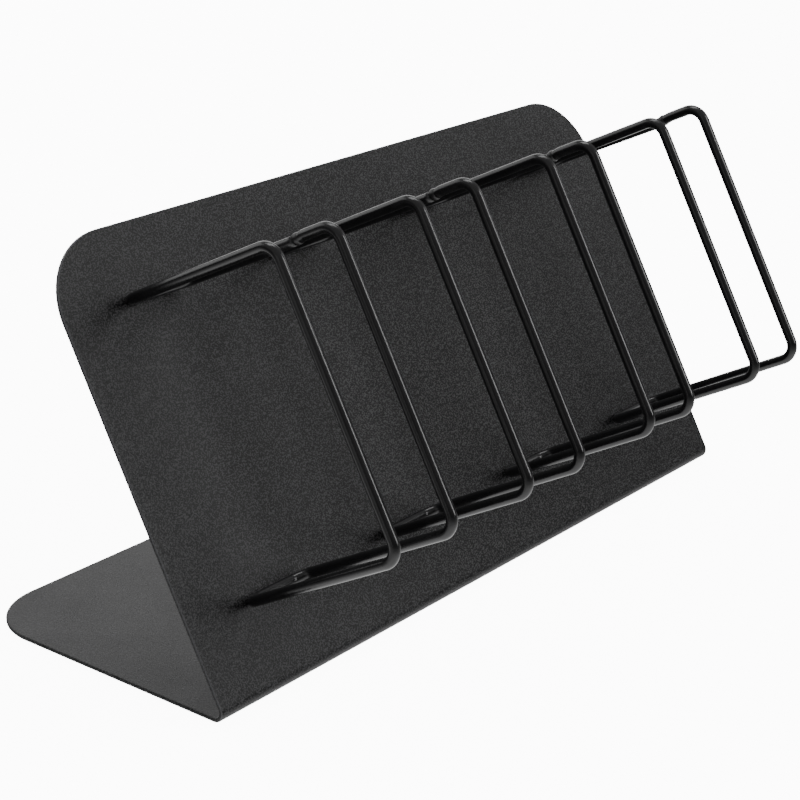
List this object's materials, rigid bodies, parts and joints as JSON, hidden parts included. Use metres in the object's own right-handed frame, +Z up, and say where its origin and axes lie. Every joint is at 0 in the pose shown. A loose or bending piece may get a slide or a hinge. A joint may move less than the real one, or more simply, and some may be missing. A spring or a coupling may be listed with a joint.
{
  "type": "brochure rack",
  "caption": "Tabletop brochure rack: a leaning sheet-steel panel folded from its flat foot, with pairs of square wire divider loops standing out from the panel.",
  "frame": {"origin": "middle of the rack's bounding box in plan, on the surface that the four pads stand on", "axes": "+X along the fold, to the right as seen from the front; +Y back from the divider loops to the foot's rear edge; +Z up"},
  "size_m": [0.305, 0.1802, 0.163],
  "materials": {
    "sheet_powder_coat": "fine-textured satin black powder coat on folded steel sheet",
    "wire_powder_coat": "smooth semi-gloss black powder coat on round steel wire",
    "weld_powder_coat": "semi-gloss black powder coat over uneven weld metal",
    "pad_rubber": "matte black self-adhesive rubber"
  },
  "bodies": {
    "root": {"folded_stand": "sheet_powder_coat", "wire_ring_1": "wire_powder_coat", "wire_ring_2": "wire_powder_coat", "wire_ring_3": "wire_powder_coat", "wire_ring_4": "wire_powder_coat", "butt_weld_1": "weld_powder_coat", "butt_weld_2": "weld_powder_coat", "butt_weld_3": "weld_powder_coat", "butt_weld_4": "weld_powder_coat", "tack_weld_1_top_left": "weld_powder_coat", "tack_weld_1_top_right": "weld_powder_coat", "tack_weld_1_bottom_left": "weld_powder_coat", "tack_weld_1_bottom_right": "weld_powder_coat", "tack_weld_2_top_left": "weld_powder_coat", "tack_weld_2_top_right": "weld_powder_coat", "tack_weld_2_bottom_left": "weld_powder_coat", "tack_weld_2_bottom_right": "weld_powder_coat", "tack_weld_3_top_left": "weld_powder_coat", "tack_weld_3_top_right": "weld_powder_coat", "tack_weld_3_bottom_left": "weld_powder_coat", "tack_weld_3_bottom_right": "weld_powder_coat", "tack_weld_4_top_left": "weld_powder_coat", "tack_weld_4_top_right": "weld_powder_coat", "tack_weld_4_bottom_left": "weld_powder_coat", "tack_weld_4_bottom_right": "weld_powder_coat", "foot_pad_front_left": "pad_rubber", "foot_pad_front_right": "pad_rubber", "foot_pad_back_left": "pad_rubber", "foot_pad_back_right": "pad_rubber"}
  },
  "joints": []
}
